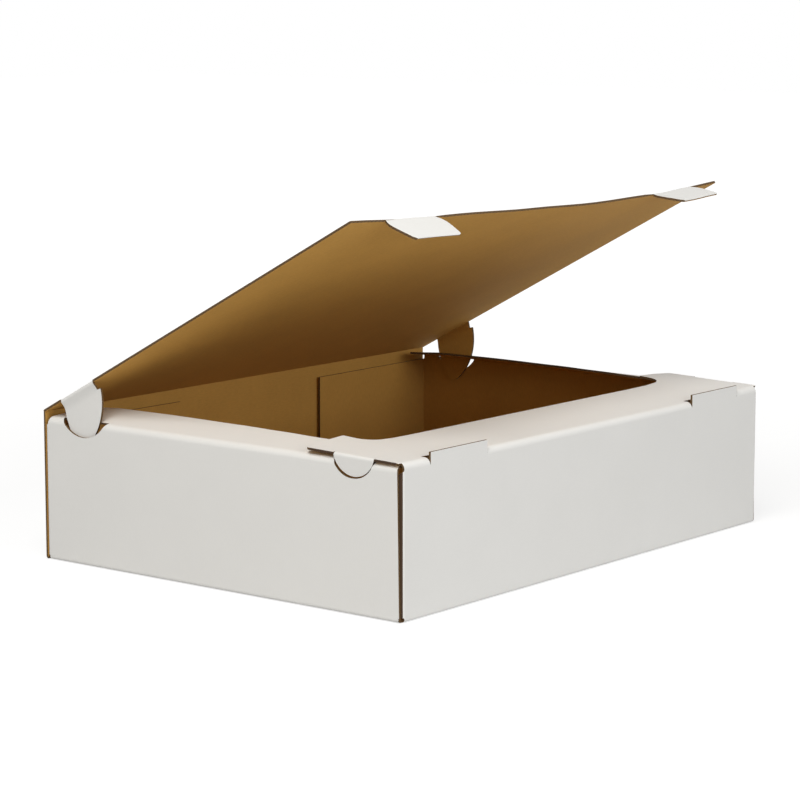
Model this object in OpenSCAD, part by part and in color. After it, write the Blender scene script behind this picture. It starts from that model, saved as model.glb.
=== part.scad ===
// Folding cake box with a hinged lid, one die-cut blank of thin corrugated board.
// Millimetres. The hinge runs along X at the back, the front wall faces -Y, and the
// origin is on the underside at the middle of the base. The lid stands part open.
// A flat panel is drawn with its printed outer face at z = 0 and its kraft inner face
// at z = board_t, and every fold turns about the crease on the inner face.

/* [Board] */
// Thickness of the corrugated board
board_t = 1.5; // [1:0.1:2.5]
// Air left between two sheets that lie on each other
layer_gap = 0.3; // [0.2:0.05:0.6]

/* [Tray] */
// Width of the box along its hinge, over the outer faces
box_w = 400; // [360:5:520]
// Depth of the box from front wall to back wall
box_d = 300; // [260:5:420]
// Height of the side walls
side_h = 94.9; // [75:0.1:140]
// Height that the hinge crease stands above the top of the front wall
hinge_rise = 2.8; // [2.8:0.1:6]
// Gap at the front corners, between a side wall's raw end and the face of the front wall
corner_gap = 2; // [1.6:0.1:4]

/* [Corner flaps] */
// Length of the flaps that turn from the side walls behind the back wall
back_flap_l = 124; // [60:1:150]
// Length of the flaps that turn from the front wall along the side walls
front_flap_l = 70; // [40:1:100]
// Height cut from a front flap's top edge to pass below the lock tabs
front_flap_drop = 14; // [13:0.5:30]
// Distance that each corner flap stays above the base and below its crease
flap_relief = 1; // [0.5:0.1:3]

/* [Rims] */
// Width of the rims folded in from the side walls
side_rim_w = 30; // [20:1:34]
// Angle that a side rim springs up where it leaves the ear
rim_spring_ear = 4; // [0:0.1:4.1]
// Angle that a side rim springs up in the middle of its free length
rim_spring_mid = 8; // [3:0.1:10]
// Angle that a side rim springs up at the hinge
rim_spring_back = 5; // [2:0.1:5.2]
// Width of the rim folded in from the front wall
front_rim_w = 55; // [46:1:64]
// Angle that the front rim springs up
front_spring = 1.7; // [1.6:0.1:2]
// Width of the ears that run back from the front rim
ear_w = 37; // [35:1:48]
// Length of the ears, from the face of the front wall
ear_l = 75; // [70:1:90]
// Radius of the inner corner between front rim and ear
ear_corner_r = 12; // [6:1:18]
// Radius of the outer corners of an ear
ear_tip_r = 3; // [1:0.5:8]

/* [Lock tabs on the ears] */
// Distance from the face of the front wall to the middle of a lock tab
lock_pos = 36.6; // [35:0.5:44]
// Width of a lock tab at its fold
lock_w = 31; // [24:1:34]
// Length of a lock tab
lock_l = 13; // [11:0.5:13.5]
// Angle past square that a lock tab leans inward
lock_lean = 9; // [8:0.5:12]
// Length of the half-moon hole for a lock tab, beyond the tab's width
lock_hole_extra = 7; // [5:0.5:10]
// Depth of the half-moon hole for a lock tab
lock_hole_d = 10.5; // [9:0.5:11]

/* [Side tabs on the lid] */
// Distance from the hinge to the near end of a side tab
side_tab_start = 17.3; // [16:0.1:24]
// Width of a side tab at its fold
side_tab_w = 33; // [28:0.5:34]
// Length of a side tab
side_tab_l = 36; // [30:1:42]
// Angle past square at which a side tab's neck slants in to pass inside the wall
side_neck_slant = 20; // [16:1:26]
// Step by which a side tab is wider than its neck
side_tab_step = 3; // [1:0.5:4]
// Room in the half-moon hole past each end of a side tab
side_hole_room = 2.4; // [1.5:0.1:4]
// Depth of the half-moon hole for a side tab
side_hole_d = 10.8; // [8:0.1:14]

/* [Front tabs and slots] */
// Distance from the side of the box to the middle of a front tab
front_tab_inset = 56.5; // [54:0.5:100]
// Width of a front tab at its fold
front_tab_w = 48; // [36:1:52]
// Length of a front tab
front_tab_l = 24; // [16:1:26]
// Amount that a front tab bulges past its fold on each side
front_tab_flare = 2.5; // [1:0.5:4]
// Amount by which the tip of a front tab is narrower on each side
front_tab_taper = 2; // [0:0.5:5]
// Room in the slot past each side of a front tab
slot_room = 2; // [1:0.5:4]
// Opening of the slot, from the front wall to the front rim
slot_w = 5.2; // [4.6:0.1:8]
// Height of the lip of the front wall that stands up in front of the slot
lip_h = 3.2; // [0.5:0.1:3.5]

/* [Lid] */
// Distance of the closed lid's front edge behind the face of the front wall
lid_setback = 4; // [3.5:0.1:5]
// Angle of the lid above level, as it stands
lid_open = 27.5; // [20:0.1:60]
// Angle of the left front tab below the plane of the lid
left_tab_bend = 50; // [20:1:52]
// Angle of the right front tab below the plane of the lid
right_tab_bend = 34; // [20:1:52]
// Gap along a crease that turns
crease_gap = 0.4; // [0.3:0.05:0.6]

/* [Hidden] */
$fn = 48;
hull_eps = 0.02;
arc_steps = 10;
// A small tab's fold is pinched a little thinner than the board
pinch = 0.1;
white_liner = [0.87, 0.86, 0.84];
kraft_liner = [0.56, 0.42, 0.23];
half_t = board_t / 2;
// Inner creases at the foot of the walls
foot_x = box_w / 2 - board_t;
foot_y = box_d / 2 - board_t;
// The ears lie on the side rims
front_h = side_h + board_t + layer_gap;
hinge_h = front_h + hinge_rise;
side_panel = side_h - 2 * board_t;
front_panel = front_h - 2 * board_t;
// Upright creases at the corners, one layer inside the wall that covers the flap
front_fold_x = foot_x - layer_gap - board_t;
back_fold_y = foot_y - layer_gap - board_t;
side_front_y = -(box_d / 2 - corner_gap);
// Axis of the hinge, in the middle of the board
hinge_y = box_d / 2 - half_t;
hinge_z = hinge_h - half_t;
turn_start = half_t + crease_gap;
lid_l = hinge_y + box_d / 2 - lid_setback;
tab_axis_s = lid_l - half_t;
// The side tabs run one layer inside the side walls
tab_inset = board_t + layer_gap;
neck_l = (board_t * cos(side_neck_slant) + layer_gap) / sin(side_neck_slant);
neck_drop = board_t + board_t * sin(side_neck_slant) + neck_l * cos(side_neck_slant);
blade_l = side_tab_l - neck_drop;
side_hook = 3;
rim_cut = tab_inset + board_t + layer_gap;
side_hole_len = side_tab_w + side_tab_step + 2 * side_hole_room;
side_hole_y = hinge_y - side_tab_start - (side_tab_w + side_tab_step) / 2;
lock_hole_len = lock_w + lock_hole_extra;
lock_y = -box_d / 2 + lock_pos;
front_tab_x = box_w / 2 - front_tab_inset;
slot_half = front_tab_w / 2 + front_tab_flare + slot_room;
rim_end_y = back_fold_y - board_t;
rim_mitre = side_rim_w / 4;
rim_ear_y = ear_l - box_d / 2;
rim_mid_y = (rim_ear_y + rim_end_y) / 2;
front_flap_slope = front_flap_drop;

// One flat panel of board
module sheet() linear_extrude(board_t) children();

// Turns what follows about the inner crease, towards the kraft face
module fold(angle) {
    translate([0, 0, board_t]) rotate([angle, 0, 0]) translate([0, 0, -board_t]) children();
}

// The outer face of the board carried round a fold
module bend(angle, from_x, to_x) {
    translate([from_x, 0, board_t]) rotate([0, 90, 0])
        rotate_extrude(angle = angle) square([board_t, to_x - from_x]);
}

// Draws a cross-section given along a panel and through it, and runs it along the fold
module along_fold(from_x, to_x) {
    translate([from_x, 0, 0]) rotate([90, 0, 90]) linear_extrude(to_x - from_x) children();
}

// Point on the outer face of a fold, and on the two faces of the panel past it
function fold_outer(angle, skin) = [
    (board_t - 2 * skin) * sin(angle),
    board_t - skin - (board_t - 2 * skin) * cos(angle)
];
function fold_inner(skin) = [0, board_t - skin];
function fold_run(angle, length) = [length * cos(angle), length * sin(angle)];

// Cross-section of a panel's last strip, its fold and the panel past it
module fold_2d(angle, length, root, skin) {
    polygon(concat(
        [[-root, board_t - skin], [-root, skin]],
        [for (i = [0:arc_steps]) fold_outer(angle * i / arc_steps, skin)],
        [fold_outer(angle, skin) + fold_run(angle, length)],
        [fold_inner(skin) + fold_run(angle, length)],
        [fold_inner(skin)]
    ));
}

// Half-round edge of a panel, where it meets a crease that turns
module bead(length) {
    translate([0, 0, half_t]) rotate([0, 90, 0]) rotate_extrude(angle = 180) square([half_t, length]);
}

// Segment of a disc below the X axis, length along X and depth below it
module half_moon(length, depth) {
    radius = (length * length / 4 + depth * depth) / (2 * depth);
    intersection() {
        translate([0, radius - depth]) circle(radius, $fn = 96);
        translate([-length / 2, -depth]) square([length, depth]);
    }
}

// Square with its corners rounded by discs
module soft_rect(x0, y0, x1, y1, r) {
    translate([x0 + r, y0]) square([x1 - x0 - 2 * r, y1 - y0]);
    translate([x0, y0 + r]) square([x1 - x0, y1 - y0 - 2 * r]);
    for (x = [x0 + r, x1 - r], y = [y0 + r, y1 - r]) translate([x, y]) circle(r);
}

// Side wall, drawn with X along the depth of the box and Y up from its foot crease
module side_panel_2d() {
    difference() {
        translate([side_front_y, 0]) square([back_fold_y - side_front_y, side_panel]);
        translate([side_hole_y, side_panel + board_t]) half_moon(side_hole_len, side_hole_d);
        translate([lock_y, side_panel + board_t]) half_moon(lock_hole_len, lock_hole_d);
    }
}

// Thin slice of a side rim with its rounded crest
module rim_slice(y, spring) {
    along_fold(y, y + hull_eps) fold_2d(90 - spring, side_rim_w - board_t, 0, 0);
}

// Straight stretch of a side rim whose spring changes from one end to the other
module rim_stretch(y0, spring0, y1, spring1) {
    hull() {
        rim_slice(y0, spring0);
        rim_slice(y1 - hull_eps, spring1);
    }
}

// Side rim, its crest and the cuts that let the tabs through
module side_rim() {
    reach = side_rim_w * 2;
    difference() {
        union() {
            rim_stretch(side_front_y, 0, rim_ear_y, rim_spring_ear);
            rim_stretch(rim_ear_y, rim_spring_ear, rim_mid_y, rim_spring_mid);
            rim_stretch(rim_mid_y, rim_spring_mid, rim_end_y, rim_spring_back);
        }
        rim_notch(side_hole_y, side_hole_len);
        rim_notch(lock_y, lock_hole_len);
        translate([rim_end_y, -reach / 2, 0]) rotate([0, -atan(rim_mitre / side_rim_w), 0])
            translate([0, 0, -reach / 2]) cube([reach, reach, reach * 1.5]);
    }
}

// Cut through the crest and the first strip of a rim
module rim_notch(y_mid, length) {
    translate([y_mid - length / 2, 0, 0]) fold(90)
        translate([0, -2 * board_t, -board_t]) cube([length, board_t + rim_cut, 4 * board_t]);
}

// Flap from a side wall, inside the back wall
module back_flap() {
    translate([0, flap_relief, 0]) sheet() square([back_flap_l, side_panel - 2 * flap_relief]);
}

// Flap from the front wall, inside the side wall, lower than the lock tabs
module front_flap() {
    sheet() polygon([
        [0, flap_relief],
        [front_flap_l, flap_relief],
        [front_flap_l, side_panel - front_flap_drop],
        [front_flap_slope, side_panel - front_flap_drop],
        [0, side_panel - flap_relief]
    ]);
}

// Left side wall with its rim and its corner flap
module side_wall() {
    translate([-foot_x, 0, 0]) rotate([0, 0, 90]) {
        bend(90, side_front_y, back_fold_y);
        fold(90) {
            sheet() side_panel_2d();
            translate([0, side_panel, 0]) side_rim();
            translate([back_fold_y, 0, 0]) {
                translate([0, flap_relief, 0]) upright_bend(side_panel - 2 * flap_relief);
                upright_fold() back_flap();
            }
        }
    }
}

// Fold about an upright crease at the +X edge of a wall panel
module upright_fold() {
    translate([0, 0, board_t]) rotate([0, -90, 0]) translate([0, 0, -board_t]) children();
}

// The outer face carried round an upright fold
module upright_bend(height) {
    translate([0, 0, board_t]) rotate([-90, 0, 0]) rotate_extrude(angle = 90) square([board_t, height]);
}

// Front wall up to its crest, with the two lips in front of the slots
module front_wall() {
    translate([0, -foot_y, 0]) rotate([0, 0, 180]) {
        bend(90, -front_fold_x, front_fold_x);
        fold(90) {
            sheet() {
                translate([-front_fold_x, 0]) square([2 * front_fold_x, front_panel]);
                for (side = [-1, 1]) translate([side * front_tab_x - slot_half + crease_gap, front_panel])
                    square([2 * slot_half - 2 * crease_gap, board_t + lip_h]);
            }
            for (side = [0, 1]) mirror([side, 0, 0]) translate([front_fold_x, 0, 0]) {
                translate([0, flap_relief, 0]) upright_bend(side_panel - 2 * flap_relief);
                upright_fold() front_flap();
            }
            translate([0, front_panel, 0]) front_rim();
        }
    }
}

// Front rim with its ears and their lock tabs
module front_rim() {
    intersection() {
        along_fold(-box_w / 2, box_w / 2) fold_2d(90 - front_spring, ear_l * 1.1, board_t, 0);
        fold(90) translate([0, 0, -4 * board_t]) linear_extrude(6 * board_t) front_rim_2d();
    }
    fold(90 - front_spring) for (side = [0, 1]) mirror([side, 0, 0])
        translate([foot_x, lock_pos - board_t, 0]) rotate([0, 0, -90]) lock_tab();
}

// Outline of the front rim and ears from above, Y inward from the front crease
module front_rim_2d() {
    rim_y = front_rim_w - board_t;
    ear_y = ear_l - board_t;
    ear_x = box_w / 2 - ear_w;
    difference() {
        union() {
            translate([-front_fold_x, -board_t]) square([2 * front_fold_x, ear_y / 2]);
            soft_rect(-box_w / 2, board_t, box_w / 2, ear_y, ear_tip_r);
        }
        translate([0, rim_y]) soft_rect(-ear_x, 0, ear_x, ear_y, ear_corner_r);
        for (side = [-1, 1]) {
            translate([side * front_tab_x - slot_half, -2 * board_t])
                square([2 * slot_half, slot_w + 2 * board_t]);
            translate([side * (foot_x + board_t), lock_pos - board_t])
                square([2 * board_t, lock_w + 2 * crease_gap], center = true);
        }
    }
}

// Half-moon tab that leans in behind the lower edge of its hole
module lock_tab() {
    intersection() {
        along_fold(-lock_w / 2, lock_w / 2) fold_2d(90 + lock_lean, lock_l, board_t, pinch);
        translate([0, 2 * board_t, 0]) rotate([90, 0, 0]) linear_extrude(8 * board_t) lock_tab_2d();
    }
}

// Face of a lock tab, its depth up from the outer face of the ear
module lock_tab_2d() {
    translate([-lock_w / 2, 0]) square([lock_w, board_t]);
    translate([0, board_t]) mirror([0, 1]) half_moon(lock_w, lock_l - board_t);
}

// Back wall, with the rounded knuckle of the hinge crease along its top
module back_wall() {
    bend_w = box_w / 2;
    translate([0, foot_y, 0]) {
        bend(90, -foot_x, foot_x);
        fold(90) {
            sheet() translate([-bend_w, 0]) square([box_w, hinge_z - board_t]);
            translate([-bend_w, hinge_z - board_t, 0]) bead(box_w);
        }
    }
}

module tray() {
    color(white_liner) {
        translate([-foot_x, -foot_y, 0]) cube([2 * foot_x, 2 * foot_y, board_t]);
        for (side = [0, 1]) mirror([side, 0, 0]) side_wall();
        front_wall();
        back_wall();
    }
}

// Places a lid panel: Y away from the hinge, z = 0 on the printed face, opened by its angle
module on_lid() {
    translate([0, hinge_y, hinge_z]) rotate([-lid_open, 0, 0])
        translate([0, 0, half_t]) rotate([180, 0, 0]) children();
}

// Lid panel outline, cut back at the folds of its four tabs
module lid_2d() {
    difference() {
        translate([-box_w / 2, turn_start]) square([box_w, lid_l - turn_start]);
        for (side = [-1, 1]) {
            translate([side * (foot_x + board_t), side_tab_start + side_tab_w / 2])
                square([2 * board_t, side_tab_w + 2 * crease_gap], center = true);
            translate([side * front_tab_x, tab_axis_s + board_t])
                square([front_tab_w + 2 * crease_gap, 2 * board_t], center = true);
        }
    }
}

// Face of a side tab, its depth up from the face of the lid; X runs away from the hinge
module side_tab_2d() {
    width = side_tab_w + side_tab_step;
    square([side_tab_w, neck_drop]);
    translate([0, neck_drop]) {
        translate([side_hook, 0]) blunt_disc(width - side_hook, blade_l);
        polygon([
            [0, -board_t],
            [0, 0],
            [-side_hook, blade_l * 0.6],
            [0, blade_l * 0.88],
            [side_hook + 2, blade_l],
            [side_hook + 2, -board_t]
        ]);
    }
}

// Quarter disc whose centre lies above the panel, so that it is width wide at y = 0
module blunt_disc(width, length) {
    rise = (width * width - length * length) / (2 * length);
    radius = length + rise;
    intersection() {
        translate([0, -rise]) circle(radius, $fn = 120);
        square([width, length]);
    }
}

// Cross-section of a side tab: fold, slanted neck, fold back, blade parallel to the wall
module side_tab_profile() {
    turn = 90 + side_neck_slant;
    knee = fold_outer(turn, 0) + fold_run(turn, neck_l);
    polygon(concat(
        [[-board_t, board_t], [-board_t, 0]],
        [for (i = [0:arc_steps]) fold_outer(turn * i / arc_steps, 0)],
        [knee, knee + [0, blade_l], knee + [-board_t, blade_l], knee - [board_t, 0]],
        [for (i = [1:4]) knee + board_t * [
            -cos(side_neck_slant * i / 4),
            -sin(side_neck_slant * i / 4)
        ]],
        [fold_inner(0)]
    ));
}

module side_tab() {
    intersection() {
        along_fold(-side_hook, side_tab_w + side_tab_step) side_tab_profile();
        translate([0, 2 * board_t, 0]) rotate([90, 0, 0]) linear_extrude(8 * board_t) side_tab_2d();
    }
}

module lid() {
    color(kraft_liner) on_lid() {
        sheet() lid_2d();
        for (side = [0, 1]) mirror([side, 0, 0])
            translate([-foot_x, side_tab_start, 0]) rotate([0, 0, 90]) side_tab();
        for (side = [-1, 1]) translate([side * front_tab_x - front_tab_w / 2, tab_axis_s, 0])
            bead(front_tab_w);
    }
}

// Front tab: it swells past its fold, then narrows to its tip
module front_tab_2d() {
    half_w = front_tab_w / 2;
    belly = front_tab_l * 0.3;
    tip = half_w - front_tab_taper;
    polygon([
        [-half_w, turn_start],
        [-half_w - front_tab_flare * 0.8, belly * 0.6],
        [-half_w - front_tab_flare, belly],
        [-half_w - front_tab_flare * 0.6, belly * 1.8],
        [-tip - 1, front_tab_l - 2],
        [-tip + 1, front_tab_l],
        [tip - 1, front_tab_l],
        [tip + 1, front_tab_l - 2],
        [half_w + front_tab_flare * 0.6, belly * 1.8],
        [half_w + front_tab_flare, belly],
        [half_w + front_tab_flare * 0.8, belly * 0.6],
        [half_w, turn_start]
    ]);
}

module front_tab(x, tab_bend) {
    color(white_liner) on_lid() translate([x, tab_axis_s, half_t]) rotate([tab_bend, 0, 0])
        translate([0, 0, -half_t]) sheet() front_tab_2d();
}

module front_tab_left() front_tab(-front_tab_x, left_tab_bend);
module front_tab_right() front_tab(front_tab_x, right_tab_bend);

tray();
lid();
front_tab_left();
front_tab_right();
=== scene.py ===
"""Dresses the folding cake box: one die-cut blank of thin corrugated board for the tray, one for the lid and
two small tabs. Each blank is drawn flat with its die line, given the board's thickness and folded up.

Lengths in the code below are millimetres on the flat blank. They become metres when a blank is folded.
"""

import math

import bmesh
import bpy
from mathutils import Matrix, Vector


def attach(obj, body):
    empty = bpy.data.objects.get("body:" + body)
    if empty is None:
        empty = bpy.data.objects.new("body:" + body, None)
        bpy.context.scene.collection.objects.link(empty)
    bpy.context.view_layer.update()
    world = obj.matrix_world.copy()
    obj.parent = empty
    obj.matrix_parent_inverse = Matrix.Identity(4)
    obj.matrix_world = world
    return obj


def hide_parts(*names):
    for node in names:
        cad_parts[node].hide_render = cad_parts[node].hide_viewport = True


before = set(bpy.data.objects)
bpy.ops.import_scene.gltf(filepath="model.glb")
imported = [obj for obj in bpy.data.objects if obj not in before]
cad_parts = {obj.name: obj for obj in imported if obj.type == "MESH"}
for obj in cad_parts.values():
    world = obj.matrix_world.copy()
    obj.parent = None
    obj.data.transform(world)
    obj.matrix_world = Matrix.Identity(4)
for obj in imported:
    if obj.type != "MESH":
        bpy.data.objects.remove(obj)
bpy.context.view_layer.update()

bl_info = {
    "name": "Cake Box",
    "version": (1, 0, 0),
    "blender": (4, 5, 0),
    "location": "3D View > Sidebar > Cake Box",
    "description": "Folds a corrugated cake box with a hinged lid from flat blanks",
    "category": "Add Mesh",
}

# A millimetre in metres, and the angle of a square fold
MM = 0.001
RIGHT = math.pi / 2
# Steps of a fold, the flat board held each side of it, and the distance within which points merge
FOLD_CUTS = 6
HOLD = 0.7
TINY = 1e-4
# Air between two layers that lie on each other, and the cut beside a flap
LAYER_GAP = 0.3
SLIT = 0.4
# Rims and ears: reach from the wall's outer face, the ear's inner edge from the middle and its corner radii
SIDE_RIM_W = 30.0
FRONT_RIM_W = 55.0
EAR_L = 75.0
EAR_X = 163.0
EAR_INNER_R = 12.0
EAR_NICK_R = 0.6
EAR_OUTER_R = 4.0
# Bulge of the ear where the side rim pushes it up: height, middle and half width
EAR_LIFT = 2.2
EAR_LIFT_X = 167
EAR_LIFT_HALF = 35
# Corner flaps: lengths past the fold, how far the front ones stay below the crest, and how far the tips of
# the back ones stand off the back wall
FRONT_FLAP_L = 70.0
BACK_FLAP_L = 124.0
FRONT_FLAP_DROP = 14.0
BACK_FLAP_LEAN = 1.6
# Lock tab: place behind the front wall, half width, length and fold, and the lowest point of its hole
LOCK_PLACE = 36.6
LOCK_HALF = 15.5
LOCK_L = 13.0
LOCK_FOLD = math.radians(93)
LOCK_HOLE_Z = 83.65
# Hole for the lid's side tab: middle, half length at the crest and lowest point
SIDE_HOLE_Y = 113.95
SIDE_HOLE_HALF = 20.4
SIDE_HOLE_Z = 84.3
# Front tabs of the lid: place from the middle, half width at the fold and length
TAB_X = 143.5
TAB_HALF = 24.0
TAB_L = 24.0
# Their slots in the tray: half length, back edge behind the front wall's face, and the lip above the crest
SLOT_HALF = 28.5
SLOT_BACK = 7.4
LIP_H = 3.2
# Side tabs of the lid: where they begin and end in front of the hinge axis, and slant and length of the neck
SIDE_TAB_START = 17.3
SIDE_TAB_END = 50.3
SIDE_TAB_WIDE_END = 53.3
NECK_SLANT = math.radians(20)
NECK_L = 1.88
# Rise of the side rims in degrees from front to back, and sag of the front crest from the middle outward
RIM_SPRING = (
    (-148, 0.0), (-105, 5.0), (-65, 8.8), (-30, 10.4), (0, 11.6), (60, 12.6), (105, 12.2), (140, 8.0))
CREST_SAG = ((0, 1.7), (130, 1.7), (176, 0.4), (200, 0.0))
# Sag of the lid's free edge from left to right
LID_SAG = ((-200, 0.0), (-160, 1.7), (-100, 2.8), (-20, 4.6), (45, 5.6), (123, 4.2), (169, 1.9), (200, 0.0))
# Ribs that show through the liners about 6.6 mm apart, and radians of the flutes' wave in a metre of edge
RIB_SCALE = 47.6
FLUTE_WAVE = 1900.0
# Place on the map of the raw edge that gives the flutes' dark colour, used to paint shade over whole faces
PAINTED_SHADE_UV = (0.00083, 0.0)

LINER_OUT, LINER_IN, RAW_EDGE = 0, 1, 2
SURFACE_NAMES = ("clay_coated_liner", "kraft_liner", "raw_fluted_edge")


# Sizes and colours

class CakeBoxBoard(bpy.types.PropertyGroup):
    thickness: bpy.props.FloatProperty(
        name="Board", description="Thickness of the board in mm", default=1.5, min=1.0, max=3.0)
    inner_radius: bpy.props.FloatProperty(
        name="Crease radius", description="Inner radius of a fold in mm", default=0.35, min=0.1, max=1.5)
    crest_radius: bpy.props.FloatProperty(
        name="Crest radius", description="Inner radius of the soft fold between wall and rim in mm",
        default=2.6)
    liner_color: bpy.props.StringProperty(
        name="Outer liner", description="Colour of the clay-coated outer liner", default="E6E5E2")
    kraft_color: bpy.props.StringProperty(
        name="Inner liner", description="Colour of the kraft inner liner", default="C09145")
    # The flute and edge-liner colours are darker than the board's own brown: partly the edge's real colour,
    # partly painted shade that makes cut edges read as lying in shadow
    flute_and_shade_color: bpy.props.StringProperty(
        name="Raw edge", description="Colour of the flutes at a cut edge of the board", default="4A382A")
    edge_liner_and_shade_color: bpy.props.StringProperty(
        name="Raw edge liner", description="Colour of the liners at a cut edge of the board",
        default="745B39")


class CakeBoxTray(bpy.types.PropertyGroup):
    half_w: bpy.props.FloatProperty(
        name="Half width", description="Half of the width along the hinge in mm", default=200.0)
    half_d: bpy.props.FloatProperty(
        name="Half depth", description="Half of the depth in mm", default=150.0)
    side_h: bpy.props.FloatProperty(
        name="Side height", description="Height of the side walls in mm", default=94.9)
    front_h: bpy.props.FloatProperty(
        name="Front height", description="Height of the front wall in mm", default=96.7)
    hinge_z: bpy.props.FloatProperty(
        name="Hinge height", description="Height of the hinge axis in mm", default=98.75)
    hinge_y: bpy.props.FloatProperty(
        name="Hinge depth", description="Distance of the hinge axis behind the middle in mm", default=149.25)
    front_spring: bpy.props.FloatProperty(
        name="Front rim spring", description="Rise of the front rim", default=math.radians(1.7),
        subtype="ANGLE")


class CakeBoxLid(bpy.types.PropertyGroup):
    open_angle: bpy.props.FloatProperty(
        name="Open", description="Angle of the lid above level", default=math.radians(27.5), subtype="ANGLE")
    length: bpy.props.FloatProperty(
        name="Length", description="Length of the lid from its hinge axis in mm", default=295.25)
    curl: bpy.props.FloatProperty(
        name="Curl", description="Rise of the lid's front corners in mm", default=2.4)
    left_bend: bpy.props.FloatProperty(
        name="Left tab", description="Angle of the left front tab below the lid",
        default=math.radians(50), subtype="ANGLE")
    right_bend: bpy.props.FloatProperty(
        name="Right tab", description="Angle of the right front tab below the lid",
        default=math.radians(34), subtype="ANGLE")


class CakeBoxStage(bpy.types.PropertyGroup):
    lens: bpy.props.FloatProperty(
        name="Lens", description="Focal length of the camera", default=126.2, unit="CAMERA")
    azimuth: bpy.props.FloatProperty(
        name="Azimuth", description="Direction of the camera round the box",
        default=math.radians(-51.325), subtype="ANGLE")
    elevation: bpy.props.FloatProperty(
        name="Elevation", description="Height of the camera above the horizon",
        default=math.radians(8.809), subtype="ANGLE")
    eye: bpy.props.FloatVectorProperty(
        name="Camera", description="Place of the camera", size=3, default=(-1.4711, -1.1666, 0.387),
        subtype="TRANSLATION")


# Flat blanks

def draw_lines(bm, vert, points):
    """Runs the die line straight from point to point and gives the last vertex."""
    for x, y in points:
        vert = bmesh.ops.extrude_vert_indiv(bm, verts=[vert])["verts"][0]
        vert.co = (x, y, 0)
    return vert


def draw_arc(bm, vert, centre, degrees, steps):
    """Runs the die line round a centre; a positive angle turns anticlockwise seen from above."""
    spun = bmesh.ops.spin(
        bm, geom=[vert], cent=(centre[0], centre[1], 0), axis=(0, 0, 1), dvec=(0, 0, 0),
        angle=math.radians(degrees), steps=steps, use_merge=False, use_duplicate=False)
    return [g for g in spun["geom_last"] if isinstance(g, bmesh.types.BMVert)][0]


def draw_bow(bm, vert, end, bulge, steps):
    """Runs the die line to an end point in an arc that stands out to the right of the chord by bulge."""
    start, end = Vector(vert.co[:2]), Vector(end)
    chord = end - start
    half = chord.length / 2
    radius = (half * half + bulge * bulge) / (2 * bulge)
    middle = (start + end) / 2
    left = Vector((-chord.y, chord.x)).normalized()
    centre = middle + left * (radius - bulge)
    sweep = 2 * math.asin(min(1, half / radius))
    return draw_arc(bm, vert, centre, math.degrees(sweep), steps)


def close_line(bm, first, last):
    """Joins the end of a die line to its beginning."""
    bm.edges.new((last, first))


def mirror_line(bm):
    """Completes the die line with its left half."""
    bmesh.ops.mirror(bm, geom=bm.verts[:] + bm.edges[:], axis="X", merge_dist=TINY)
    bmesh.ops.remove_doubles(bm, verts=bm.verts[:], dist=TINY)


def fill_line(bm):
    """Fills the die line as one flat sheet with its holes left open."""
    bmesh.ops.triangle_fill(bm, use_beauty=True, use_dissolve=False, edges=bm.edges[:])


def cut_lines(bm, axis, places):
    """Scores the blank with straight lines across, at places along an axis."""
    normal = (1, 0, 0) if axis == "X" else (0, 1, 0)
    for place in places:
        bmesh.ops.bisect_plane(
            bm, geom=bm.verts[:] + bm.edges[:] + bm.faces[:], dist=TINY,
            plane_co=Vector(normal) * place, plane_no=normal)


def fold_scores(start, run):
    """Score lines through a fold that takes up a run of board."""
    return [start + run * i / FOLD_CUTS for i in range(FOLD_CUTS + 1)]


def fold_places(start, run):
    """Score lines of a fold, with one held line on the flat board each side of it."""
    return [start - HOLD] + fold_scores(start, run) + [start + run + HOLD]


def both_sides(places):
    """The same places on the right and on the left."""
    return places + [-p for p in places]


def face_side(face, thickness):
    """Which surface of the board a face of the flat sheet is."""
    level = face.calc_center_median().z / thickness
    if abs(level) < 0.4:
        return RAW_EDGE
    return LINER_IN if level > 0 else LINER_OUT


def turn_outward(face, outward):
    """Flips a face whose normal points away from a given direction."""
    if face.normal.dot(outward) < 0:
        face.normal_flip()


def give_thickness(bm, thickness):
    """Makes the flat outline a sheet: outer liner below, kraft liner above, raw edge all round."""
    bmesh.ops.dissolve_degenerate(bm, dist=TINY * 20, edges=bm.edges[:])
    bm.normal_update()
    for face in bm.faces:
        turn_outward(face, Vector((0, 0, 1)))
    bmesh.ops.translate(bm, verts=bm.verts[:], vec=(0, 0, -thickness / 2))
    made = bmesh.ops.extrude_face_region(bm, geom=bm.faces[:], use_keep_orig=True)
    top = [g for g in made["geom"] if isinstance(g, bmesh.types.BMVert)]
    bmesh.ops.translate(bm, verts=top, vec=(0, 0, thickness))
    bm.normal_update()
    flat_map = bm.loops.layers.uv.new("board")
    for face in bm.faces:
        face.smooth = True
        face.material_index = face_side(face, thickness)
        if face.material_index == RAW_EDGE:
            for edge in face.edges:
                board = [f for f in edge.link_faces if face_side(f, thickness) == LINER_OUT]
                if board:
                    middle = (edge.verts[0].co + edge.verts[1].co) / 2
                    turn_outward(face, middle - board[0].calc_center_median())
        else:
            turn_outward(face, Vector((0, 0, 1 if face.material_index == LINER_IN else -1)))
        for loop in face.loops:
            co = loop.vert.co
            if face.material_index == RAW_EDGE:
                loop[flat_map].uv = ((co.x + co.y) * MM, co.z * MM)
            else:
                loop[flat_map].uv = (co.x * MM, co.y * MM)
    for edge in bm.edges:
        if len(edge.link_faces) == 2 and edge.calc_face_angle(0) > math.radians(32):
            edge.smooth = False


# Folding

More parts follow.
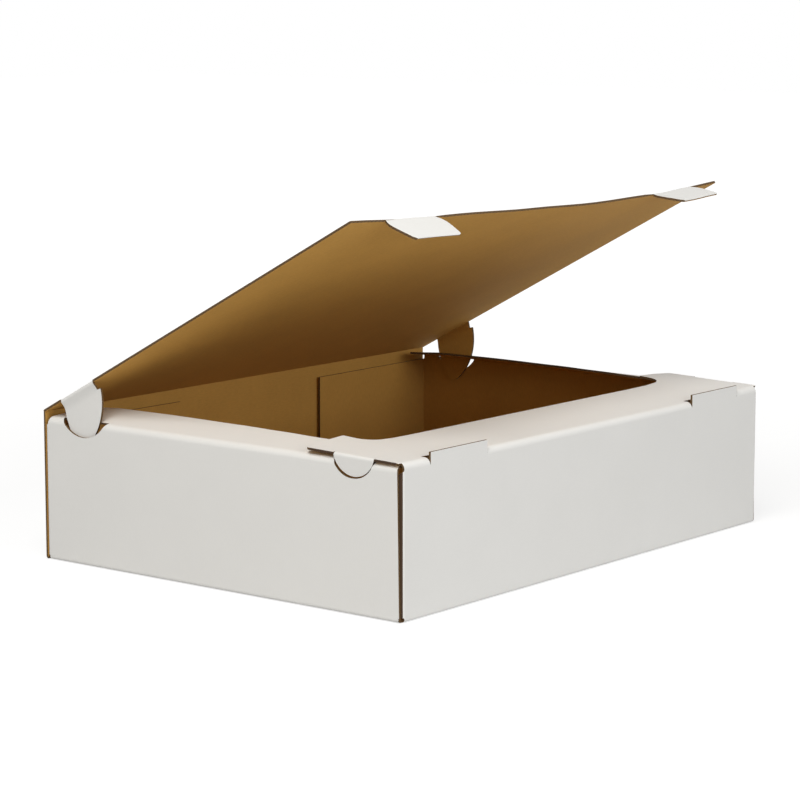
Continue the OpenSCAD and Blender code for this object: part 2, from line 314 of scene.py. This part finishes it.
def follow(track, run, offset):
    """Place on a folded cross-section. A track is a start point and stretches of (length, turn); offset is
    measured from the middle of the board towards the kraft side."""
    (u, v), stretches = track
    heading = 0.0
    left = run - u
    for length, turn in stretches:
        step = min(left, length)
        if turn:
            radius = length / turn
            part = turn * step / length
            u += radius * (math.sin(heading + part) - math.sin(heading))
            v += radius * (math.cos(heading) - math.cos(heading + part))
            heading += part
        else:
            u += step * math.cos(heading)
            v += step * math.sin(heading)
        left -= step
        if left <= 0 and step < length:
            break
    if left > 0:
        u += left * math.cos(heading)
        v += left * math.sin(heading)
    return u - offset * math.sin(heading), v + offset * math.cos(heading)


def blend_stations(stations, at):
    """Smooth value between stations given as (place, value)."""
    if at <= stations[0][0]:
        return stations[0][1]
    for (p0, v0), (p1, v1) in zip(stations, stations[1:]):
        if at <= p1:
            f = (at - p0) / (p1 - p0)
            return v0 + (v1 - v0) * f * f * (3 - 2 * f)
    return stations[-1][1]


def rounded_end(offset, past, radius):
    """Squeezes the thickness of the board over its last stretch, so that the edge is round."""
    f = min(max(past / radius, 0), 0.985)
    return offset * math.sqrt(1 - f * f)


def make_piece(bm, name, body):
    """Turns a folded blank into a piece that rides on its body and stands for that body's plain solid."""
    mesh = bpy.data.meshes.new(name)
    bmesh.ops.scale(bm, vec=(MM, MM, MM), verts=bm.verts[:])
    bm.to_mesh(mesh)
    bm.free()
    piece = bpy.data.objects.new(name, mesh)
    bpy.context.scene.collection.objects.link(piece)
    for material in board_materials():
        mesh.materials.append(material)
    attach(piece, body)
    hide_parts(body)


# Finishes

def linear(hex_color):
    """An sRGB hex colour as linear numbers for a socket."""
    out = []
    for i in (0, 2, 4):
        c = int(hex_color[i:i + 2], 16) / 255
        out.append(c / 12.92 if c <= 0.04045 else ((c + 0.055) / 1.055) ** 2.4)
    return (*out, 1.0)


def add_node(tree, kind, links=None, values=None, **settings):
    """Adds a node, sets its properties and input values, and links its inputs."""
    node = tree.nodes.new(kind)
    for key, value in settings.items():
        setattr(node, key, value)
    for socket, value in (values or {}).items():
        node.inputs[socket].default_value = value
    for socket, source in (links or {}).items():
        tree.links.new(source, node.inputs[socket])
    return node


def empty_material(name):
    """A material with an empty node tree."""
    material = bpy.data.materials.new(name)
    material.use_nodes = True
    material.node_tree.nodes.clear()
    return material


def liner_material(name, color, mottle, fleck, roughness, bump):
    """Paper liner over corrugated board: faint ribs of the flutes, a soft mottle and fine fibres."""
    material = empty_material(name)
    tree = material.node_tree
    coord = add_node(tree, "ShaderNodeUVMap", uv_map="board")
    ribs = add_node(tree, "ShaderNodeTexWave", {"Vector": coord.outputs["UV"]},
                    {"Scale": RIB_SCALE, "Distortion": 0.4, "Detail": 1.0, "Detail Scale": 2.0},
                    wave_type="BANDS", bands_direction="X", wave_profile="SIN")
    cloud = add_node(tree, "ShaderNodeTexNoise", {"Vector": coord.outputs["UV"]},
                     {"Scale": 16.0, "Detail": 4.0, "Roughness": 0.6})
    stretch = add_node(tree, "ShaderNodeMapping", {"Vector": coord.outputs["UV"]},
                       {"Scale": (260.0, 1100.0, 1.0)})
    fibre = add_node(tree, "ShaderNodeTexNoise", {"Vector": stretch.outputs["Vector"]},
                     {"Scale": 1.0, "Detail": 3.0, "Roughness": 0.65})
    shade = add_node(tree, "ShaderNodeMapRange", {"Value": cloud.outputs["Fac"]},
                     {"From Min": 0.3, "From Max": 0.7, "To Min": 1 - mottle, "To Max": 1 + mottle})
    speck = add_node(tree, "ShaderNodeMapRange", {"Value": fibre.outputs["Fac"]},
                     {"From Min": 0.3, "From Max": 0.7, "To Min": 1 - fleck, "To Max": 1 + fleck})
    both = add_node(tree, "ShaderNodeMath", {0: shade.outputs["Result"], 1: speck.outputs["Result"]},
                    operation="MULTIPLY")
    tint = add_node(tree, "ShaderNodeVectorMath", {"Scale": both.outputs["Value"]},
                    {0: linear(color)[:3]}, operation="SCALE")
    relief = add_node(tree, "ShaderNodeMath", {0: ribs.outputs["Fac"], 1: fibre.outputs["Fac"]},
                      operation="ADD")
    bumps = add_node(tree, "ShaderNodeBump", {"Height": relief.outputs["Value"]},
                     {"Strength": bump, "Distance": 0.0001})
    paper = add_node(tree, "ShaderNodeBsdfPrincipled",
                     {"Base Color": tint.outputs["Vector"], "Normal": bumps.outputs["Normal"]},
                     {"Roughness": roughness, "IOR": 1.5, "Specular IOR Level": 0.35})
    add_node(tree, "ShaderNodeOutputMaterial", {"Surface": paper.outputs["BSDF"]})
    return material


def raw_edge_material(name, color, liner):
    """Cut edge of the board: two pale liner lines with the darker flutes between them, both colours partly
    painted shade.
    """
    material = empty_material(name)
    tree = material.node_tree
    coord = add_node(tree, "ShaderNodeUVMap", uv_map="board")
    apart = add_node(tree, "ShaderNodeSeparateXYZ", {"Vector": coord.outputs["UV"]})
    phase = add_node(tree, "ShaderNodeMath", {0: apart.outputs["X"]}, {1: FLUTE_WAVE},
                     operation="MULTIPLY")
    wave = add_node(tree, "ShaderNodeMath", {0: phase.outputs["Value"]}, operation="SINE")
    height = add_node(tree, "ShaderNodeMath", {0: wave.outputs["Value"]}, {1: 0.00045},
                      operation="MULTIPLY")
    gap = add_node(tree, "ShaderNodeMath", {0: apart.outputs["Y"], 1: height.outputs["Value"]},
                   operation="SUBTRACT")
    near = add_node(tree, "ShaderNodeMath", {0: gap.outputs["Value"]}, operation="ABSOLUTE")
    flute = add_node(tree, "ShaderNodeMapRange", {"Value": near.outputs["Value"]},
                     {"From Min": 0.0001, "From Max": 0.0004, "To Min": 0.0, "To Max": 1.0})
    side = add_node(tree, "ShaderNodeMath", {0: apart.outputs["Y"]}, operation="ABSOLUTE")
    skin = add_node(tree, "ShaderNodeMapRange", {"Value": side.outputs["Value"]},
                    {"From Min": 0.0005, "From Max": 0.00058, "To Min": 1.0, "To Max": 0.0})
    dark = add_node(tree, "ShaderNodeMath", {0: flute.outputs["Result"], 1: skin.outputs["Result"]},
                    operation="MULTIPLY")
    mix = add_node(tree, "ShaderNodeMix", {"Factor": dark.outputs["Value"]}, data_type="RGBA")
    mix.inputs[6].default_value = linear(liner)
    mix.inputs[7].default_value = linear(color)
    card = add_node(tree, "ShaderNodeBsdfPrincipled", {"Base Color": mix.outputs[2]},
                    {"Roughness": 0.85, "IOR": 1.5, "Specular IOR Level": 0.25})
    add_node(tree, "ShaderNodeOutputMaterial", {"Surface": card.outputs["BSDF"]})
    return material


def board_materials():
    """The three surfaces of the board, made once and shared by every piece."""
    made = [bpy.data.materials.get(n) for n in SURFACE_NAMES]
    if all(made):
        return made
    board = bpy.context.scene.cake_box_board
    # Clay coating: an even, cool near-white that reads as smooth matt paper and only hints at the ribs
    coated = liner_material(SURFACE_NAMES[LINER_OUT], board.liner_color,
                            mottle=0.012, fleck=0.008, roughness=0.55, bump=0.12)
    # Kraft: a warm brown, cloudier and more fibrous, that makes the inside read as bare cardboard
    kraft = liner_material(SURFACE_NAMES[LINER_IN], board.kraft_color,
                           mottle=0.05, fleck=0.07, roughness=0.8, bump=0.3)
    # Cut edge: thin dark lines round every flap and hole, which tell that the board is fluted; their dark is
    # partly painted shade
    edge = raw_edge_material(SURFACE_NAMES[RAW_EDGE], board.flute_and_shade_color, board.edge_liner_and_shade_color)
    return [coated, kraft, edge]


# Pieces

class CAKEBOX_OT_tray(bpy.types.Operator):
    """Folds the tray from its blank: base, four walls, corner flaps, rims, ears and lock tabs"""
    bl_idname = "cakebox.tray"
    bl_label = "Build the tray"

    def execute(self, context):
        tray, board = context.scene.cake_box_tray, context.scene.cake_box_board
        t, ri = board.thickness, board.inner_radius
        out_r, mid_r = ri + t, ri + t / 2
        run = mid_r * RIGHT
        crest_r = board.crest_radius + t
        crest_run = (board.crest_radius + t / 2) * RIGHT
        # Places on the flat blank: across the side walls (a), down the front (b), up the back (c)
        a0 = tray.half_w - out_r
        a1 = a0 + run
        a2 = a1 + tray.side_h - out_r - crest_r
        a3 = a2 + crest_run
        a4 = a3 + SIDE_RIM_W - crest_r
        b0 = tray.half_d - out_r
        b1 = b0 + run
        b2 = b1 + tray.front_h - out_r - crest_r
        b3 = b2 + crest_run
        b4 = b3 + FRONT_RIM_W - crest_r
        b5 = b3 + EAR_L - crest_r
        c2 = b1 + tray.hinge_z - out_r + t / 2
        flap_x = tray.half_w - LAYER_GAP - t - out_r
        flap_y = tray.half_d - LAYER_GAP - t - out_r
        flap_end = flap_x + run + FRONT_FLAP_L
        tuck_end = flap_y + run + BACK_FLAP_L
        lock_b = b3 + LOCK_PLACE - crest_r
        lock_run = mid_r * LOCK_FOLD
        lock_root = a0 + lock_run

        bm = bmesh.new()
        first = bm.verts.new((0, -b4, 0))
        pen = draw_lines(bm, first, [(EAR_X - EAR_INNER_R, -b4)])
        pen = draw_arc(bm, pen, (EAR_X - EAR_INNER_R, -b4 - EAR_INNER_R), -90, 10)
        pen = draw_lines(bm, pen, [(EAR_X, -b5 + EAR_NICK_R)])
        pen = draw_arc(bm, pen, (EAR_X + EAR_NICK_R, -b5 + EAR_NICK_R), 90, 3)
        pen = draw_lines(bm, pen, [(tray.half_w - EAR_OUTER_R, -b5)])
        pen = draw_arc(bm, pen, (tray.half_w - EAR_OUTER_R, -b5 + EAR_OUTER_R), 90, 6)
        pen = draw_lines(bm, pen, [
            (tray.half_w, -lock_b - LOCK_HALF - SLIT), (a0, -lock_b - LOCK_HALF - SLIT),
            (a0, -lock_b - LOCK_HALF), (lock_root, -lock_b - LOCK_HALF)])
        pen = draw_bow(bm, pen, (lock_root, -lock_b + LOCK_HALF), LOCK_L - out_r, 18)
        draw_lines(bm, pen, [
            (a0, -lock_b + LOCK_HALF), (a0, -lock_b + LOCK_HALF + SLIT),
            (tray.half_w, -lock_b + LOCK_HALF + SLIT), (tray.half_w, -b3 + 1.5),
            (flap_x + SLIT, -b3 + 1.5), (flap_x + SLIT, -b2 + 1.0),
            (flap_x + run + FRONT_FLAP_DROP, -b2 + FRONT_FLAP_DROP), (flap_end, -b2 + FRONT_FLAP_DROP),
            (flap_end, -b1 - 1.0), (flap_x + SLIT, -b1 - 1.0), (flap_x + SLIT, -b0), (a0, -b0),
            (a0 + HOLD, -148.4), (a2, -147.0), (a3, -146.5), (a4, -146.5),
            (a4, flap_y - t - 7.5), (a3, flap_y - t),
            (a2 - 1.0, flap_y), (a2 - 1.0, tuck_end), (a1 + 1.0, tuck_end), (a1 + 1.0, flap_y),
            (a0, flap_y), (a0, b0), (tray.half_w - 0.1, b0 + 0.2), (tray.half_w - 0.1, c2), (0, c2)])
        # Half-moon holes through the side wall's crest, for the lid's tab and for the lock tab
        hole_top = a3 + 0.2
        hole_low = a2 - (tray.side_h - crest_r - SIDE_HOLE_Z)
        start = bm.verts.new((hole_top, SIDE_HOLE_Y + SIDE_HOLE_HALF, 0))
        pen = draw_bow(bm, start, (hole_top, SIDE_HOLE_Y - SIDE_HOLE_HALF), hole_top - hole_low, 20)
        close_line(bm, start, pen)
        lock_y = LOCK_PLACE - tray.half_d
        lock_low = a2 - (tray.side_h - crest_r - LOCK_HOLE_Z)
        start = bm.verts.new((hole_top, lock_y + 17.0, 0))
        pen = draw_lines(bm, start, [(a2, lock_y + 14.7)])
        pen = draw_bow(bm, pen, (lock_low, lock_y), 2.2, 9)
        pen = draw_bow(bm, pen, (a2, lock_y - 13.65), 1.94, 9)
        pen = draw_lines(bm, pen, [(hole_top, lock_y - 15.8)])
        close_line(bm, start, pen)
        # Slot behind each lip of the front wall
        x0, x1 = TAB_X - SLOT_HALF, TAB_X + SLOT_HALF
        lip_b = b2 + LIP_H + crest_r
        slot_b = b3 + SLOT_BACK - crest_r
        start = bm.verts.new((x0, -b2, 0))
        pen = draw_lines(bm, start, [
            (x0 + SLIT, -b2), (x0 + SLIT, -lip_b), (x1 - SLIT, -lip_b), (x1 - SLIT, -b2),
            (x1, -b2), (x1, -slot_b), (x0, -slot_b)])
        close_line(bm, start, pen)
        mirror_line(bm)
        # The right wall's hole sits closer round the lid's tab
        for vert in bm.verts:
            if hole_low - 1 < vert.co.x < hole_top + TINY and 92 < vert.co.y < SIDE_HOLE_Y:
                vert.co.y = SIDE_HOLE_Y - (SIDE_HOLE_Y - vert.co.y) * 0.85
        fill_line(bm)
        # Score lines at the folds, and a grid between them that lets rims, crest and walls bow
        cut_lines(bm, "X", both_sides(
            fold_places(a0, run) + fold_places(a2, crest_run) + [flap_x - HOLD]
            + fold_scores(flap_x, run)
            + [lock_root + HOLD, a4 - 14.0, 30.0, 60.0, 90.0, 120.0, 140.0, 165.0, 182.0]))
        cut_lines(bm, "Y", [-p for p in fold_places(b0, run) + fold_places(b2, crest_run)
                            + [b2 - 25.0, b2 - 12.0, b3 + 14.0, b3 + 28.0, b3 + 42.0, b3 + 56.0]])
        cut_lines(bm, "Y", fold_places(b0, run) + [
            c2 - t / 2 * (1 - f) for f in (0, 0.35, 0.65, 0.85, 0.95)])
        cut_lines(bm, "Y", [flap_y - HOLD] + fold_scores(flap_y, run))
        cut_lines(bm, "Y", [-140.0 + 10.0 * i for i in range(29)])
        give_thickness(bm, t)
        # The outer faces round the crease at each end of the front wall get the dark flute colour of a raw
        # edge: painted shade for the dark gap at the corner, where that fold lies in shadow
        flat_map = bm.loops.layers.uv["board"]
        for face in bm.faces:
            place = face.calc_center_median()
            a, b = abs(place.x), -place.y
            at_corner = flap_x + run / 2 < a < flap_x + run + 6.0 and b1 - 2.0 < b < b2 + 1.0
            painted_gap_shade = at_corner and face.material_index == LINER_OUT
            if painted_gap_shade:
                face.material_index = RAW_EDGE
            # The ear's cut edge over the side wall gets the flutes' dark colour all over: painted shade for
            # the slit under the ear
            ear_edge_shade = a > tray.half_w - TINY and b > b3 and face.material_index == RAW_EDGE
            if painted_gap_shade or ear_edge_shade:
                for loop in face.loops:
                    loop[flat_map].uv = PAINTED_SHADE_UV

        up_side = tray.side_h - out_r - crest_r
        up_front = tray.front_h - out_r - crest_r
        base = (0, t / 2)
        side_flap = ((0, 0), ((flap_y, 0), (run, RIGHT)))
        front_flap = ((0, 0), ((flap_x, 0), (run, RIGHT)))
        lock_fold = ((0, 0), ((a0, 0), (lock_run, LOCK_FOLD)))
        front_rise = RIGHT - tray.front_spring
        front = (base, ((b0, 0), (run, RIGHT), (up_front, 0), (crest_run, front_rise)))
        upright = (base, ((b0, 0), (run, RIGHT)))
        for vert in bm.verts:
            x, y, h = vert.co
            a, b, sign = abs(x), -y, 1 if x > 0 else -1
            if b > b1 or (b > b0 and a < flap_x + HOLD):
                if a > flap_x and b1 < b < b2 - TINY:
                    a, h = follow(front_flap, a, h)
                elif a > a0 and abs(b - lock_b) < LOCK_HALF + SLIT / 2:
                    a, h = follow(lock_fold, a, h)
                on_lip = b2 - TINY < b < lip_b + TINY and abs(a - TAB_X) < SLOT_HALF - SLIT / 2
                # The ear rides on the side rim, and the crest hangs a little in the middle
                if b > b3:
                    across = max(0.0, 1 - abs(a - EAR_LIFT_X) / EAR_LIFT_HALF)
                    h -= EAR_LIFT * ((b - b3) / (b5 - b3)) ** 1.5 * across * across * (3 - 2 * across)
                v, z = follow(upright if on_lip else front, b, h)
                if not on_lip:
                    fade = blend_stations(((b2 - 25, 0), (b2, 1), (b3, 1), (b4, 0)), b)
                    z -= blend_stations(CREST_SAG, a) * fade
                vert.co = (sign * a, -v, z)
            elif a > a0 and (y < flap_y + TINY or a > tray.half_w + 0.5):
                v = y
                if y > flap_y:
                    h += BACK_FLAP_LEAN * max(0.0, (y - flap_y - run) / BACK_FLAP_L) ** 2
                    v, h = follow(side_flap, y, h)
                spring = math.radians(blend_stations(RIM_SPRING, v))
                side = (base, ((a0, 0), (run, RIGHT), (up_side, 0), (crest_run, RIGHT - spring)))
                u, z = follow(side, a, h)
                vert.co = (sign * u, v, z)
            else:
                h = rounded_end(h, y - (c2 - t / 2), t / 2)
                v, z = follow(upright, max(y, 0), h)
                vert.co = (x, v if y > 0 else y, z)
        make_piece(bm, "tray_board", "tray")
        return {"FINISHED"}


def lid_warp(x, s, lid):
    """Sag of the lid towards the box, most at its free edge a little right of the middle, with its front
    corners curled up."""
    along = min(1.0, max(0.0, s / lid.length))
    return blend_stations(LID_SAG, x) * along ** 2.4 - lid.curl * along


def onto_lid(x, s, h, context):
    """Place of a point of the lid's blank: x across, s from the hinge axis, h towards the kraft side."""
    lid, tray = context.scene.cake_box_lid, context.scene.cake_box_tray
    h += lid_warp(x, s, lid)
    angle = lid.open_angle
    return (
        x,
        tray.hinge_y - s * math.cos(angle) - h * math.sin(angle),
        tray.hinge_z + s * math.sin(angle) - h * math.cos(angle),
    )


class CAKEBOX_OT_lid(bpy.types.Operator):
    """Folds the lid from its blank: the panel and its two side tabs"""
    bl_idname = "cakebox.lid"
    bl_label = "Build the lid"

    def execute(self, context):
        lid, tray = context.scene.cake_box_lid, context.scene.cake_box_tray
        board = context.scene.cake_box_board
        t, ri = board.thickness, board.inner_radius
        out_r, mid_r = ri + t, ri + t / 2
        a0 = tray.half_w - out_r
        # The tab folds past square, slants inward through the hole and turns upright at a soft knee
        turn = RIGHT + NECK_SLANT
        turn_run, back_run = mid_r * turn, 6.0
        knee = a0 + turn_run + 5.26
        tip = knee + 29.0

        bm = bmesh.new()
        first = bm.verts.new((0, -t / 2, 0))
        pen = draw_lines(bm, first, [
            (tray.half_w, -t / 2), (tray.half_w, SIDE_TAB_START - SLIT), (a0, SIDE_TAB_START - SLIT),
            (a0, SIDE_TAB_START), (knee - 2.0, SIDE_TAB_START), (knee + 6.0, SIDE_TAB_START - 2.0),
            (knee + 14.0, SIDE_TAB_START - 2.6), (knee + 22.0, SIDE_TAB_START - 3.0),
            (knee + 25.5, SIDE_TAB_START - 2.0),
            (knee + 28.2, SIDE_TAB_START + 0.6), (tip, SIDE_TAB_START + 4.0)])
        pen = draw_bow(bm, pen, (knee, SIDE_TAB_WIDE_END), 6.6, 18)
        draw_lines(bm, pen, [
            (knee - 0.6, SIDE_TAB_END), (a0, SIDE_TAB_END), (a0, SIDE_TAB_END + SLIT),
            (tray.half_w, SIDE_TAB_END + SLIT),
            (tray.half_w, lid.length), (0, lid.length)])
        mirror_line(bm)
        fill_line(bm)
        # Score lines at the folds and along the rounded edges, and a grid that lets the panel sag
        cut_lines(bm, "X", both_sides(
            fold_places(a0, turn_run) + fold_places(a0 + turn_run + NECK_L, back_run)
            + [15.0 * i + 5.0 for i in range(13)]) + [0.0])
        cut_lines(bm, "Y", [t / 2 * (f - 1) for f in (0.05, 0.15, 0.35, 0.65, 1)])
        cut_lines(bm, "Y", [15.0 * i + 5.0 for i in range(20)])
        cut_lines(bm, "Y", [lid.length - t / 2 * (1 - f) for f in (0, 0.35, 0.65, 0.85, 0.95)])
        give_thickness(bm, t)
        fold = ((0, 0), ((a0, 0), (turn_run, turn), (NECK_L, 0), (back_run, -NECK_SLANT)))
        for vert in bm.verts:
            x, s, h = vert.co
            a, sign = abs(x), 1 if x > 0 else -1
            h = rounded_end(h, -s, t / 2)
            if abs(a - TAB_X) < TAB_HALF + 0.2:
                h = rounded_end(h, s - (lid.length - t / 2), t / 2)
            if a > a0 and SIDE_TAB_START - 4 < s < SIDE_TAB_WIDE_END + 1 and (
                    SIDE_TAB_START - SLIT / 2 < s < SIDE_TAB_END + SLIT / 2 or a > knee - 2.1):
                a, h = follow(fold, a, h)
            vert.co = onto_lid(sign * a, s, h, context)
        make_piece(bm, "lid_board", "lid")
        return {"FINISHED"}


class CAKEBOX_OT_front_tabs(bpy.types.Operator):
    """Cuts the two front tabs and bends each down from the lid's free edge"""
    bl_idname = "cakebox.front_tabs"
    bl_label = "Build the front tabs"

    def execute(self, context):
        lid, board = context.scene.cake_box_lid, context.scene.cake_box_board
        t = board.thickness
        axis_s = lid.length - t / 2
        for name, middle, angle in (("front_tab_left", -TAB_X, lid.left_bend),
                                    ("front_tab_right", TAB_X, lid.right_bend)):
            bm = bmesh.new()
            first = bm.verts.new((0, -t / 2, 0))
            draw_lines(bm, first, [
                (TAB_HALF, -t / 2), (TAB_HALF, 0.9), (25.6, 3.2), (26.4, 6.0), (26.3, 9.0), (25.4, 13.5),
                (23.8, 19.0), (23.0, 21.8), (21.8, 23.4), (20.2, TAB_L), (0, TAB_L)])
            mirror_line(bm)
            fill_line(bm)
            cut_lines(bm, "Y", [t / 2 * (f - 1) for f in (0.05, 0.15, 0.35, 0.65, 1)])
            cut_lines(bm, "Y", [4.0, 8.0, 12.0, 16.0, 20.0, 23.4, 23.7, 23.9])
            cut_lines(bm, "X", [-18.0, -9.0, 0.0, 9.0, 18.0])
            give_thickness(bm, t)
            for vert in bm.verts:
                x, s, h = vert.co
                # Round at its fold, crushed thin at the tip, and curled a little towards the kraft side
                h = rounded_end(h, -s, t / 2)
                h = rounded_end(h, s - 23.4, 0.62)
                h += 0.0006 * max(0.0, s) ** 2
                run = s * math.cos(angle) - h * math.sin(angle)
                drop = s * math.sin(angle) + h * math.cos(angle)
                vert.co = onto_lid(middle + x, axis_s + run, drop, context)
            make_piece(bm, name + "_board", name)
        return {"FINISHED"}


# Stage

def seen_by_eye(tree):
    """One for a ray that comes from the eye, straight or by way of gloss or glass, and zero for light."""
    path = add_node(tree, "ShaderNodeLightPath")
    sees = add_node(tree, "ShaderNodeMath",
                    {0: path.outputs["Is Camera Ray"], 1: path.outputs["Is Glossy Ray"]}, operation="MAXIMUM")
    seen = add_node(tree, "ShaderNodeMath",
                    {0: sees.outputs["Value"], 1: path.outputs["Is Transmission Ray"]}, operation="MAXIMUM")
    return seen.outputs["Value"]


def shadow_floor_material():
    """White floor that stays white to the eye and keeps the box's soft shadow."""
    material = empty_material("studio_floor")
    tree = material.node_tree
    seen = seen_by_eye(tree)
    coord = add_node(tree, "ShaderNodeTexCoord")
    away = add_node(tree, "ShaderNodeVectorMath", {0: coord.outputs["Object"]}, operation="LENGTH")
    level = add_node(tree, "ShaderNodeMapRange", {"Value": away.outputs["Value"]},
                     {"From Min": 0.35, "From Max": 1.5, "To Min": 0.74, "To Max": 0.95})
    matte = add_node(tree, "ShaderNodeBsdfDiffuse", values={"Color": (0.62, 0.62, 0.62, 1)})
    soft = add_node(tree, "ShaderNodeBsdfDiffuse", values={"Color": (0.32, 0.32, 0.32, 1)})
    glow = add_node(tree, "ShaderNodeEmission", {"Strength": level.outputs["Result"]},
                    {"Color": (1, 1, 1, 1)})
    both = add_node(tree, "ShaderNodeAddShader", {0: soft.outputs["BSDF"], 1: glow.outputs["Emission"]})
    mix = add_node(tree, "ShaderNodeMixShader",
                   {0: seen, 1: matte.outputs["BSDF"], 2: both.outputs["Shader"]})
    add_node(tree, "ShaderNodeOutputMaterial", {"Surface": mix.outputs["Shader"]})
    return material


def add_lamp(name, place, target, size, power, color):
    """Hangs a soft rectangular lamp that faces a target."""
    data = bpy.data.lights.new(name, "AREA")
    data.shape = "RECTANGLE"
    data.size, data.size_y = size
    data.energy = power
    data.color = color
    lamp = bpy.data.objects.new(name, data)
    bpy.context.scene.collection.objects.link(lamp)
    lamp.location = place
    lamp.rotation_mode = "QUATERNION"
    lamp.rotation_quaternion = (Vector(target) - Vector(place)).to_track_quat("-Z", "Y")


class CAKEBOX_OT_stage(bpy.types.Operator):
    """Sets up the white floor, the soft light and the camera"""
    bl_idname = "cakebox.stage"
    bl_label = "Build the stage"

    def execute(self, context):
        scene, stage = context.scene, context.scene.cake_box_stage
        scene.view_settings.view_transform = "Standard"
        bm = bmesh.new()
        bmesh.ops.create_grid(bm, x_segments=1, y_segments=1, size=6.0)
        mesh = bpy.data.meshes.new("floor")
        bm.to_mesh(mesh)
        bm.free()
        floor = bpy.data.objects.new("floor", mesh)
        scene.collection.objects.link(floor)
        # A hair below the base, so that the two never share a plane
        floor.location.z = -0.0004
        mesh.materials.append(shadow_floor_material())

        world = bpy.data.worlds.new("studio")
        scene.world = world
        world.use_nodes = True
        tree = world.node_tree
        tree.nodes.clear()
        seen = seen_by_eye(tree)
        light = add_node(tree, "ShaderNodeBackground", values={"Color": (1, 1, 1, 1), "Strength": 0.32})
        white = add_node(tree, "ShaderNodeBackground", values={"Color": (1, 1, 1, 1), "Strength": 1.0})
        mix = add_node(tree, "ShaderNodeMixShader",
                       {0: seen, 1: light.outputs["Background"], 2: white.outputs["Background"]})
        add_node(tree, "ShaderNodeOutputWorld", {"Surface": mix.outputs["Shader"]})

        add_lamp("key", (-1.23, -0.55, 1.84), (0, 0, 0.1), (1.2, 1.2), 33, (1.0, 0.98, 0.94))
        add_lamp("low_front", (-0.25, -2.2, 0.72), (0, 0, 0.12), (1.5, 0.7), 13.5, (0.97, 0.985, 1.0))

        data = bpy.data.cameras.new("camera")
        data.sensor_width = 36.0
        data.lens = stage.lens
        data.clip_start, data.clip_end = 0.05, 50.0
        camera = bpy.data.objects.new("camera", data)
        scene.collection.objects.link(camera)
        a, e = stage.azimuth, stage.elevation
        back = Vector((math.sin(a) * math.cos(e), -math.cos(a) * math.cos(e), math.sin(e)))
        camera.location = stage.eye
        camera.rotation_mode = "QUATERNION"
        camera.rotation_quaternion = (-back).to_track_quat("-Z", "Y")
        scene.camera = camera
        return {"FINISHED"}


class CAKEBOX_PT_panel(bpy.types.Panel):
    """Lists the box's sizes and the steps that build it"""
    bl_idname = "CAKEBOX_PT_panel"
    bl_label = "Cake Box"
    bl_space_type = "VIEW_3D"
    bl_region_type = "UI"
    bl_category = "Cake Box"

    def draw(self, context):
        for name in GROUPS:
            group = getattr(context.scene, name)
            column = self.layout.box().column()
            for key in type(group).__annotations__:
                column.prop(group, key)
        for step in STEPS:
            self.layout.operator(step.bl_idname)


GROUPS = {
    "cake_box_board": CakeBoxBoard,
    "cake_box_tray": CakeBoxTray,
    "cake_box_lid": CakeBoxLid,
    "cake_box_stage": CakeBoxStage,
}
STEPS = (CAKEBOX_OT_tray, CAKEBOX_OT_lid, CAKEBOX_OT_front_tabs, CAKEBOX_OT_stage)
CLASSES = (*GROUPS.values(), *STEPS, CAKEBOX_PT_panel)


def register():
    for cls in CLASSES:
        bpy.utils.register_class(cls)
    for name, group in GROUPS.items():
        setattr(bpy.types.Scene, name, bpy.props.PointerProperty(type=group))


def unregister():
    for name in GROUPS:
        delattr(bpy.types.Scene, name)
    for cls in reversed(CLASSES):
        bpy.utils.unregister_class(cls)


def main():
    register()
    bpy.ops.cakebox.tray()
    bpy.ops.cakebox.lid()
    bpy.ops.cakebox.front_tabs()
    bpy.ops.cakebox.stage()


if __name__ == "__main__":
    main()
